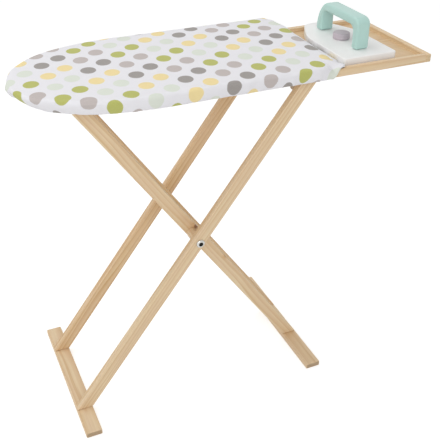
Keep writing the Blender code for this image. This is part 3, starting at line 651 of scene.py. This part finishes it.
def cloth_place(x, y):
    """Where a point of the top lies on the flat cloth, which is pulled a little unevenly over the pad."""
    a, b = x * 10, y * 10
    terms = (1, a, b, a * a, a * b, b * b, a ** 3, a * a * b, a * b * b, b ** 3)
    along = sum(share * term for share, term in zip(PULL_ALONG, terms))
    across = sum(share * term for share, term in zip(PULL_ACROSS, terms))
    return Vector((x + along / 1000, y + across / 1000))


def flat_places(column, skirt_point, side):
    """Where a column's points lay on the cloth before it was pulled over the pad."""
    x, y = skirt_point
    outward = Vector((x - spine_of(skirt_point), y * side)).normalized()
    if x < NOSE_CENTRE_X:
        outward = Vector(((x - NOSE_CENTRE_X) / NOSE_LENGTH ** 2, y * side / COVER_HALF_WIDTH ** 2))
        outward.normalize()
    tangent = Vector((-outward.y, outward.x))
    stretch = 1 - DRAWN_ON_NOSE * blend(*DRAWN_FROM_SIDE, x) * blend(*DRAWN_FROM_TIP, x)
    places = [cloth_place(*point[:2]) for point in column]
    for row in range(SHOULDER_ROW - 1, -1, -1):
        step = Vector(column[row]) - Vector(column[row + 1])
        aside = step.xy.dot(tangent)
        down = math.sqrt(max(0, step.length_squared - aside ** 2)) * stretch
        if row < LOW_ROW:
            down *= DRAWN_AT_HEM
        places[row] = places[row + 1] + tangent * aside + outward * down
    return places


# Pull folds at the tail's corners, each (start, end, width, depth) on the flat cloth.
FOLDS = []
for side in (-1, 1):
    FOLDS += [
        ((0.152, side * 0.106), (0.112, side * 0.090), 0.0034, 0.0022),
        ((0.146, side * 0.113), (0.104, side * 0.104), 0.0032, 0.0020),
    ]


def pull_fold(place, start, end, width, depth):
    """A crease between two places on the flat cloth, deepest at its start, with a ridge on each side."""
    start, end = Vector(start), Vector(end)
    line = end - start
    share = (place - start).dot(line) / line.length_squared
    if not -0.1 < share < 1.1:
        return 0
    off = (place - start - line * share).length
    fade = max(0, 1 - max(share, 0) ** 2) * blend(-0.1, 0.05, share)
    wide = width * (1 + share)
    dip = math.exp(-(off / wide) ** 2)
    ridge = math.exp(-((off - 2 * wide) / wide) ** 2)
    return depth * fade * (0.9 * ridge - dip)


# Heights of the cloth's unevenness, each with its waves in a metre. Odd numbers in the places of the noise
# below only keep these waves from following each other.
SLACK, SLACK_WAVES = 0.00035, 22
FINE_SLACK, FINE_SLACK_WAVES = 0.00018, 60
BAND_SLACK, BAND_SLACK_WAVES = 0.0009, 42
GATHER, GATHER_WAVES = 0.0026, 75
FINE_GATHER, FINE_GATHER_WAVES = 0.0010, 190


def gathers(place, row, x, around):
    """How far the hem's gathers and the cloth's slack stand off the smooth form."""
    slack = SLACK * noise.noise(Vector((place.x * SLACK_WAVES, place.y * SLACK_WAVES, 3.1)))
    slack += FINE_SLACK * noise.noise(Vector((place.x * FINE_SLACK_WAVES, place.y * FINE_SLACK_WAVES, 7.7)))
    if row >= SHOULDER_ROW:
        return slack
    low_down = 1 - blend(TURN_ROW, SHOULDER_ROW - 6, row)
    on_nose = blend(NOSE_CENTRE_X + 0.03, NOSE_X, x)
    wave = max(0, 0.12 + noise.noise(Vector((around * GATHER_WAVES, 1.7, 0))))
    fine = max(0, noise.noise(Vector((around * FINE_GATHER_WAVES, 5.3, 0))))
    on_band = blend(TURN_ROW, TURN_ROW + 4, row) * (1 - blend(SHOULDER_ROW - 5, SHOULDER_ROW, row))
    slack += BAND_SLACK * on_band * noise.noise(Vector((around * BAND_SLACK_WAVES, row * 0.16, 9.1)))
    return slack + low_down * (GATHER * (1 + on_nose) * wave + FINE_GATHER * fine)


def unevenness(corner, place, row, around):
    """How a point of the smooth cover moves for gathers, slack and folds."""
    x = corner.co.x
    step = gathers(place, row, x, around)
    if x > HEM_FADE_X:
        step *= 1 - 0.6 * blend(HEM_FADE_X, COVER_END_X, x)
    for fold in FOLDS:
        step += pull_fold(place, *fold)
    if x > HEM_FADE_X and row < SHOULDER_ROW:
        # Here the cloth lies on the tray's rail and can't dip.
        step = max(step, -0.0001)
    move = corner.normal * step
    if row < LOW_ROW:
        # The hem keeps its clearance to the legs.
        move.z = max(move.z, -0.0003)
    return move


def make_cover():
    """The printed cover: columns of cloth with gathers and folds, given their thickness inward."""
    shape = bmesh.new()
    uv = shape.loops.layers.uv.new("cloth")
    columns, cloth = [], []
    for skirt_point, top_point, passed, side in stations():
        column = cover_column(skirt_point, top_point, side)
        columns.append(column)
        cloth.append((flat_places(column, skirt_point, side), passed * side))
    grid = skin(shape, columns)
    shape.normal_update()
    place_of, moves = {}, {}
    for line, (places, around) in zip(grid, cloth):
        for row, (corner, place) in enumerate(zip(line, places)):
            place_of[corner] = place
            moves[corner] = unevenness(corner, place, row, around)
    for face in shape.faces:
        for loop in face.loops:
            loop[uv].uv = place_of[loop.vert]
    for corner, move in moves.items():
        corner.co += move
    weld(shape)
    piece = piece_of("spotted_cover", shape, COTTON)
    wall = piece.modifiers.new("cloth", "SOLIDIFY")
    wall.thickness = CLOTH
    wall.offset = -1
    wall.use_even_offset = False
    settle(piece, 180)
    return piece


cover = make_cover()
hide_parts("cover")
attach(cover, "board")

PAD_INSET = 0.0013
PAD_EDGE = 0.003


def make_pad():
    """The wadding under the cover: a crowned, round-edged cushion that lies flat on the panel."""
    columns = []
    for skirt_point, top_point, _, side in stations():
        middle = Vector((*centre_of(top_point), PANEL_TOP + GAP))
        edge = Vector((skirt_point[0], skirt_point[1] * side, middle.z)) - middle
        column = [middle] + [middle + edge * share for share in (0.5, 1 - PAD_EDGE / edge.length)]
        for point in cover_column(skirt_point, top_point, side)[WIDEST_ROW + 1:]:
            point = Vector(point)
            inward = Vector((spine_of(top_point) - point.x, -point.y, 0))
            move = min(PAD_INSET, inward.length) * inward.normalized()
            column.append(point + move - UP * PAD_INSET)
        columns.append(column)
    shape = bmesh.new()
    skin(shape, columns)
    weld(shape)
    bmesh.ops.recalc_face_normals(shape, faces=shape.faces)
    return piece_of("wadding_pad", shape, WADDING)


pad = make_pad()
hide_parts("foam_pad")
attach(pad, "board")


def slab(name, outline, along, length, surface):
    """A flat outline pushed out along a direction."""
    shape = bmesh.new()
    face = shape.faces.new([shape.verts.new(point) for point in outline])
    pushed = bmesh.ops.extrude_face_region(shape, geom=[face])["geom"]
    moved = [item for item in pushed if isinstance(item, bmesh.types.BMVert)]
    bmesh.ops.translate(shape, verts=moved, vec=along * length)
    bmesh.ops.recalc_face_normals(shape, faces=shape.faces)
    return piece_of(name, shape, surface)


# Tray rails: eased strips that also cover the panel's edge, so that rim and panel read as one thickness.
RAIL_LIP = 0.0003
RAIL_BELOW = 0.00025


def tray_rail(node):
    low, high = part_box(node)
    low.z = UNDERSIDE - RAIL_BELOW
    if node != "tray_rail_far":
        low.y -= RAIL_LIP
    if node != "tray_rail_near":
        high.y += RAIL_LIP
    if node == "tray_rail_end":
        high.x += RAIL_LIP
    outline = [(low.x, low.y), (high.x, low.y), (high.x, high.y), (low.x, high.y)]
    floor_line = [(x, y, low.z) for x, y in outline]
    wood = nodes[node].material_slots[0].material
    rail = slab(node + "_strip", floor_line, UP, high.z - low.z, wood)
    bevelled(rail, 0.0009, 3)
    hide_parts(node)
    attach(rail, "board")


for node in ("tray_rail_near", "tray_rail_far", "tray_rail_end"):
    tray_rail(node)

# The toy iron.
iron_low, iron_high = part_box("iron_base")
IRON_X = (iron_low.x + iron_high.x) / 2
HEEL_Y = iron_low.y
IRON_LENGTH = iron_high.y - iron_low.y
IRON_HALF = (iron_high.x - iron_low.x) / 2


def sole_outline():
    """The iron's plan: parallel sides that taper to a blunt round tip."""
    heel_round = 0.004
    straight = IRON_LENGTH * 0.62
    tip_start = IRON_LENGTH * 0.955
    half_tip = 0.020
    tip_angle = math.radians(28)
    taper_steps, tip_steps = 20, 14
    # Half the outline, each point (along, across).
    half = []
    for sine, cosine in reversed(quarter(6)):
        half.append((heel_round * (1 - sine), IRON_HALF - heel_round * (1 - cosine)))
    for step in range(taper_steps + 1):
        share = step / taper_steps
        half.append((
            straight + (tip_start - straight) * share,
            IRON_HALF - (IRON_HALF - half_tip) * share ** 1.25,
        ))
    for step in range(1, tip_steps):
        angle = tip_angle + (math.pi / 2 - tip_angle) * step / tip_steps
        passed = (math.sin(angle) - math.sin(tip_angle)) / (1 - math.sin(tip_angle))
        half.append((
            tip_start + (IRON_LENGTH - tip_start) * passed,
            half_tip * math.cos(angle) / math.cos(tip_angle),
        ))
    outline = [(IRON_X + across, HEEL_Y + along) for along, across in half]
    outline.append((IRON_X, HEEL_Y + IRON_LENGTH))
    outline += [(IRON_X - across, HEEL_Y + along) for along, across in reversed(half)]
    return [(x, y, iron_low.z) for x, y in outline]


sole = slab("iron_sole_block", sole_outline(), UP, iron_high.z - iron_low.z, WHITE_ENAMEL)
bevelled(sole, 0.0014)
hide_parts("iron_base")
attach(sole, "iron")

handle_low, handle_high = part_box("iron_handle")
HANDLE_LENGTH = handle_high.y - handle_low.y
HANDLE_HEIGHT = handle_high.z - iron_high.z
HANDLE_BAR = 0.0125
HANDLE_PROUD = 0.0007
HEEL_ROUND = 0.013
TIP_ROUND = 0.026
TIP_POST = 0.0145
TIP_UPRIGHT = 0.007
INNER_ROUND = 0.009
INNER_TIP_ROUND = 1.4 * INNER_ROUND


def rounded(corner, reach, rise, power=1.0):
    """Points of an outside corner from its upright side to its level top, each (along, up)."""
    points = []
    for sine, cosine in quarter(10):
        points.append((corner[0] + reach * (1 - cosine ** power), corner[1] - rise * (1 - sine ** power)))
    return points


def handle_outline():
    """The handle seen from its side: an arch with a square heel and a tip that leans back."""
    under = HANDLE_HEIGHT - HANDLE_BAR
    inner_end = HANDLE_LENGTH - TIP_POST
    outline = [(0, GAP)] + rounded((0, HANDLE_HEIGHT), HEEL_ROUND, HEEL_ROUND * 0.7)
    outline += rounded((HANDLE_LENGTH, HANDLE_HEIGHT), -TIP_ROUND, HANDLE_HEIGHT - TIP_UPRIGHT, 1.15)[::-1]
    outline += [(HANDLE_LENGTH, GAP), (inner_end, GAP)]
    outline += rounded((inner_end, under), -INNER_TIP_ROUND, INNER_TIP_ROUND)
    outline += rounded((HANDLE_BAR, under), INNER_ROUND, INNER_ROUND)[::-1]
    outline.append((HANDLE_BAR, GAP))
    return [(handle_low.x - HANDLE_PROUD, handle_low.y + along, iron_high.z + up) for along, up in outline]


handle_width = handle_high.x - handle_low.x + 2 * HANDLE_PROUD
handle = slab("iron_grip", handle_outline(), ALONG_X, handle_width, MINT_ENAMEL)
bevelled(handle, 0.0030, angle=50)
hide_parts("iron_handle")
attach(handle, "iron")


def turned(name, profile, start, direction, surface, steps):
    """A round piece: (radius, distance) points turned about an axis."""
    shape = bmesh.new()
    points = [shape.verts.new((radius, 0, distance)) for radius, distance in profile]
    edges = [shape.edges.new(pair) for pair in zip(points, points[1:])]
    bmesh.ops.spin(
        shape, geom=points + edges, cent=(0, 0, 0), axis=UP, angle=2 * math.pi, steps=steps, use_merge=True
    )
    bmesh.ops.remove_doubles(shape, verts=shape.verts, dist=0.000005)
    bmesh.ops.recalc_face_normals(shape, faces=shape.faces)
    turn = UP.rotation_difference(direction).to_matrix().to_4x4()
    bmesh.ops.transform(shape, matrix=Matrix.Translation(start) @ turn, verts=shape.verts)
    piece = piece_of(name, shape, surface)
    piece.data.set_sharp_from_angle(angle=math.radians(35))
    return piece


# The dial: a low knob with a rounded rim and a blind hole for its pin.
dial_low, dial_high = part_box("dial_knob")
dial_radius = (dial_high.x - dial_low.x) / 2
dial_height = dial_high.z - dial_low.z
DIAL_ROUND = 0.002
DIAL_DOME = 0.0002
DIAL_EASE = 0.0008
PIN_RADIUS = 0.0034
PIN_DEPTH = 0.0056

dial_profile = [(0, dial_height), (dial_radius * 0.72, dial_height - DIAL_DOME / 2)]
for sine, cosine in quarter(8):
    dial_profile.append((
        dial_radius - DIAL_ROUND * (1 - sine),
        dial_height - DIAL_DOME - (DIAL_ROUND - DIAL_DOME) * (1 - cosine),
    ))
dial_profile += [(dial_radius, DIAL_EASE), (dial_radius - DIAL_EASE, 0)]
dial_profile += [(PIN_RADIUS, 0), (PIN_RADIUS, PIN_DEPTH), (0, PIN_DEPTH)]
dial_place = ((dial_low.x + dial_high.x) / 2, (dial_low.y + dial_high.y) / 2, dial_low.z)
dial = turned("iron_dial", dial_profile, dial_place, UP, MAUVE_ENAMEL, 64)
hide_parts("dial_knob")
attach(dial, "dial")

# Pivot bolts: domed heads with a hexagon socket.
BOLT_INSET = 0.0006
BOLT_DOME = 0.0022
BOLT_HEAD = 0.0026
SHANK_RADIUS = 0.003
SHANK_EASE = 0.0006
SOCKET_RADIUS = 0.0037
SOCKET_DEPTH = 0.0020
SOCKET_POINT = 0.0003
SOCKET_OPENING = 0.0004
SOCKET_CLEAR = 0.001


def pivot_bolt(side_name, side):
    low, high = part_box("pivot_bolt_" + side_name)
    middle = (low + high) / 2
    head_radius = (high.x - low.x) / 2 - BOLT_INSET
    reach = high.y - low.y
    outside = low.y if side < 0 else high.y
    start = (middle.x, outside, middle.z)
    inward = -side * ALONG_Y
    profile = [(0, 0)]
    for sine, cosine in quarter(10):
        profile.append((head_radius * sine ** 0.8, BOLT_DOME * (1 - cosine)))
    profile += [(head_radius, BOLT_HEAD), (SHANK_RADIUS, BOLT_HEAD), (SHANK_RADIUS, reach - SHANK_EASE)]
    profile += [(SHANK_RADIUS - SHANK_EASE, reach), (0, reach)]
    bolt = turned("pivot_bolt_head_" + side_name, profile, start, inward, NICKEL, 48)
    tool_profile = [(0, -SOCKET_CLEAR), (SOCKET_RADIUS, -SOCKET_CLEAR)]
    tool_profile += [(SOCKET_RADIUS, SOCKET_DEPTH), (0, SOCKET_DEPTH + SOCKET_POINT)]
    tool = turned("socket_tool", tool_profile, start, inward, NICKEL, 6)
    hole = bolt.modifiers.new("socket", "BOOLEAN")
    hole.operation = "DIFFERENCE"
    hole.solver = "EXACT"
    hole.object = tool
    settle(bolt, 35)
    bpy.data.objects.remove(tool)
    # Painted shade: socket faces that don't face up are marked to be darkened; the upward-facing walls stay
    # bright.
    socket_shade = bolt.data.attributes.new("socket_shade", "FLOAT", "FACE")
    for face in bolt.data.polygons:
        inside = math.hypot(face.center.x - middle.x, face.center.z - middle.z) < SOCKET_RADIUS - 0.0001
        deep = SOCKET_OPENING < abs(face.center.y - outside) < SOCKET_DEPTH + SOCKET_OPENING
        socket_shade.data[face.index].value = float(inside and deep and face.normal.z < 0.3)
    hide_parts("pivot_bolt_" + side_name)
    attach(bolt, "outer_frame")


for side_name, side in (("near", -1), ("far", 1)):
    pivot_bolt(side_name, side)

# The hem: a gathered casing round the elastic, and a row of stitches beside it.
CASING_HALF_WIDTH = 0.0016
CASING_HALF_HEIGHT = 0.0009
CASING_SIDES = 10
PUCKER = 0.25
PUCKER_WAVES = 260


def hem_path(inset, height):
    """Points round the hem's underside, from the far side of the tail round the nose to the near side."""
    near = [toward_middle(p, inset) for p in skirt_line() if p[0] <= HEM_FADE_X]
    return [(p.x, -p.y, height) for p in reversed(near[1:])] + [(p.x, p.y, height) for p in near]


def make_casing():
    """A flat tube along the hem's inner edge, puckered by its elastic."""
    path = hem_path(HEM_WIDTH + GAP + CASING_HALF_HEIGHT, UNDERSIDE - GAP - CASING_HALF_HEIGHT)
    path = [Vector(point) for point in path]
    shape = bmesh.new()
    rings = []
    passed = 0
    for i, point in enumerate(path):
        before = path[max(i - 1, 0)]
        after = path[min(i + 1, len(path) - 1)]
        passed += (point - before).length
        aside = (after - before).normalized().cross(UP)
        half_width = CASING_HALF_WIDTH * (1 + PUCKER * noise.noise(Vector((passed * PUCKER_WAVES, 0, 0))))
        ring = []
        for step in range(CASING_SIDES):
            angle = 2 * math.pi * step / CASING_SIDES
            offset = aside * math.cos(angle) * half_width + UP * math.sin(angle) * CASING_HALF_HEIGHT
            ring.append(shape.verts.new(point + offset))
        rings.append(ring)
    for a, b in zip(rings, rings[1:]):
        for step in range(CASING_SIDES):
            after = (step + 1) % CASING_SIDES
            shape.faces.new((a[step], a[after], b[after], b[step]))
    shape.faces.new(rings[0])
    shape.faces.new(rings[-1])
    bmesh.ops.recalc_face_normals(shape, faces=shape.faces)
    uv = shape.loops.layers.uv.new("cloth")
    for face in shape.faces:
        for loop in face.loops:
            loop[uv].uv = PLAIN_PLACE
    return piece_of("hem_casing", shape, COTTON)


casing = make_casing()
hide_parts("hem_elastic")
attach(casing, "board")


def stitch_tree():
    """Sews stitches along a curve: one thread loop at each step of a spacing."""
    tree = bpy.data.node_groups.new("sewn_stitches", "GeometryNodeTree")
    tree.interface.new_socket("Geometry", in_out="INPUT", socket_type="NodeSocketGeometry")
    for name in ("Spacing", "Length", "Thickness"):
        tree.interface.new_socket(name, in_out="INPUT", socket_type="NodeSocketFloat")
    tree.interface.new_socket("Geometry", in_out="OUTPUT", socket_type="NodeSocketGeometry")
    given = add_node(tree, "NodeGroupInput").outputs
    spaced = {"Curve": given["Geometry"], "Length": given["Spacing"]}
    points = add_node(tree, "GeometryNodeCurveToPoints", spaced, mode="LENGTH").outputs
    loop = add_node(
        tree, "GeometryNodeMeshUVSphere", {"Segments": 8, "Rings": 5, "Radius": given["Thickness"]}
    )
    stretch = add_node(tree, MATH, {0: given["Length"], 1: given["Thickness"]}, operation="DIVIDE")
    half = add_node(tree, MATH, {0: stretch, 1: 0.5}, operation="MULTIPLY")
    size = add_node(tree, "ShaderNodeCombineXYZ", {0: 1.0, 1: 1.0, 2: half})
    placed = add_node(
        tree, "GeometryNodeInstanceOnPoints",
        {"Points": points["Points"], "Instance": loop, "Rotation": points["Rotation"], "Scale": size},
    )
    real = add_node(tree, "GeometryNodeRealizeInstances", {"Geometry": placed})
    coloured = add_node(tree, "GeometryNodeSetMaterial", {"Geometry": real, "Material": THREAD})
    add_node(tree, "NodeGroupOutput", {"Geometry": coloured})
    return tree


def sew(name, path, tree, sizes):
    """Stitches along a path, as a plain mesh."""
    curve = bpy.data.curves.new(name, "CURVE")
    curve.dimensions = "3D"
    line = curve.splines.new("POLY")
    line.points.add(len(path) - 1)
    for spot, point in zip(line.points, path):
        spot.co = (*point, 1)
    rail = bpy.data.objects.new(name + "_line", curve)
    scene.collection.objects.link(rail)
    sewing = rail.modifiers.new("stitches", "NODES")
    sewing.node_group = tree
    for item in tree.interface.items_tree:
        if item.in_out == "INPUT" and item.name in sizes:
            sewing[item.identifier] = sizes[item.name]
    bpy.context.view_layer.update()
    evaluated = rail.evaluated_get(bpy.context.evaluated_depsgraph_get())
    mesh = bpy.data.meshes.new_from_object(evaluated)
    bpy.data.objects.remove(rail)
    mesh.shade_smooth()
    return link(name, mesh, THREAD)


stitches = sew(
    "hem_stitches",
    hem_path(HEM_WIDTH * 0.55, UNDERSIDE - SKIN - GAP - 0.0001),
    stitch_tree(),
    {"Spacing": 0.0034, "Length": 0.0026, "Thickness": 0.00035},
)
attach(stitches, "board")


# Floor, light and camera.
def shown(tree):
    """1 for a ray that shows the background itself: to the camera, in a reflection or through glass."""
    rays = add_node(tree, "ShaderNodeLightPath").outputs
    seen = add_node(tree, MATH, {0: rays["Is Camera Ray"], 1: rays["Is Glossy Ray"]}, operation="MAXIMUM")
    return add_node(tree, MATH, {0: seen, 1: rays["Is Transmission Ray"]}, operation="MAXIMUM")


# Paper: a white studio roll, dull, that keeps the object's shadow.
def floor_material():
    made, tree, shader = new_material("white_paper", {"Base Color": linear("#F2F2F2"), "Roughness": 0.95})
    glow = add_node(tree, "ShaderNodeEmission", {"Color": linear("#FFFFFF"), "Strength": 0.62})
    paper = add_node(tree, "ShaderNodeBsdfDiffuse", {"Color": linear("#D2D2D2")})
    lit = add_node(tree, "ShaderNodeAddShader", {0: glow, 1: paper})
    both = add_node(tree, "ShaderNodeMixShader", {0: shown(tree), 1: shader, 2: lit})
    plug(tree, tree.nodes["Material Output"], {"Surface": both})
    return made


FLOOR_REACH = 6
FLOOR_BELOW = 0.0002
floor_mesh = bpy.data.meshes.new("studio_floor")
corners = [(-1, -1), (1, -1), (1, 1), (-1, 1)]
floor_mesh.from_pydata([(x * FLOOR_REACH, y * FLOOR_REACH, 0) for x, y in corners], [], [(0, 1, 2, 3)])
floor = link("studio_floor", floor_mesh, floor_material())
floor.location.z = -FLOOR_BELOW

world = bpy.data.worlds.new("studio")
scene.world = world
world.use_nodes = True
sky = world.node_tree
strength = add_node(sky, RANGE, {"Value": shown(sky), "To Min": 0.55, "To Max": 1.0})
plug(sky, sky.nodes["Background"], {"Color": linear("#FFFFFF"), "Strength": strength})


def soft_light(name, place, target, size, power):
    """A round softbox that faces a target."""
    lamp = bpy.data.lights.new(name, "AREA")
    lamp.shape = "DISK"
    lamp.size = size
    lamp.energy = power
    made = bpy.data.objects.new(name, lamp)
    made.location = place
    made.rotation_euler = (Vector(target) - Vector(place)).to_track_quat("-Z", "Y").to_euler()
    scene.collection.objects.link(made)


soft_light("overhead_softbox", (-0.5, 0.5, 2.1), (0, 0, 0.3), 1.4, 9)
soft_light("front_softbox", (-0.6, -2.2, 1.5), (0, 0, 0.4), 1.6, 14)
soft_light("side_softbox", (-2.2, -0.7, 1.2), (0, 0, 0.4), 1.4, 6)

# The camera was fitted to the photo's wooden edges. Angles are in degrees.
PHOTO_PIXELS = 440
VIEW_ANGLE = 32.297
HEADING = -23.8415
DOWNWARD = 31.944
ROLL = 0.1965
eye = bpy.data.cameras.new("photo_camera")
eye.sensor_width = 36
eye.lens = eye.sensor_width / (2 * math.tan(math.radians(VIEW_ANGLE) / 2))
eye.shift_x = 0.96 / PHOTO_PIXELS
eye.shift_y = 0.78 / PHOTO_PIXELS
camera = bpy.data.objects.new("photo_camera", eye)
camera.location = (-0.40855, -0.93029, 0.87484)
camera.rotation_euler = (
    Matrix.Rotation(math.radians(HEADING), 4, "Z")
    @ Matrix.Rotation(math.radians(90 - DOWNWARD), 4, "X")
    @ Matrix.Rotation(math.radians(ROLL), 4, "Z")
).to_euler()
scene.collection.objects.link(camera)
scene.camera = camera

scene.view_settings.view_transform = "Standard"
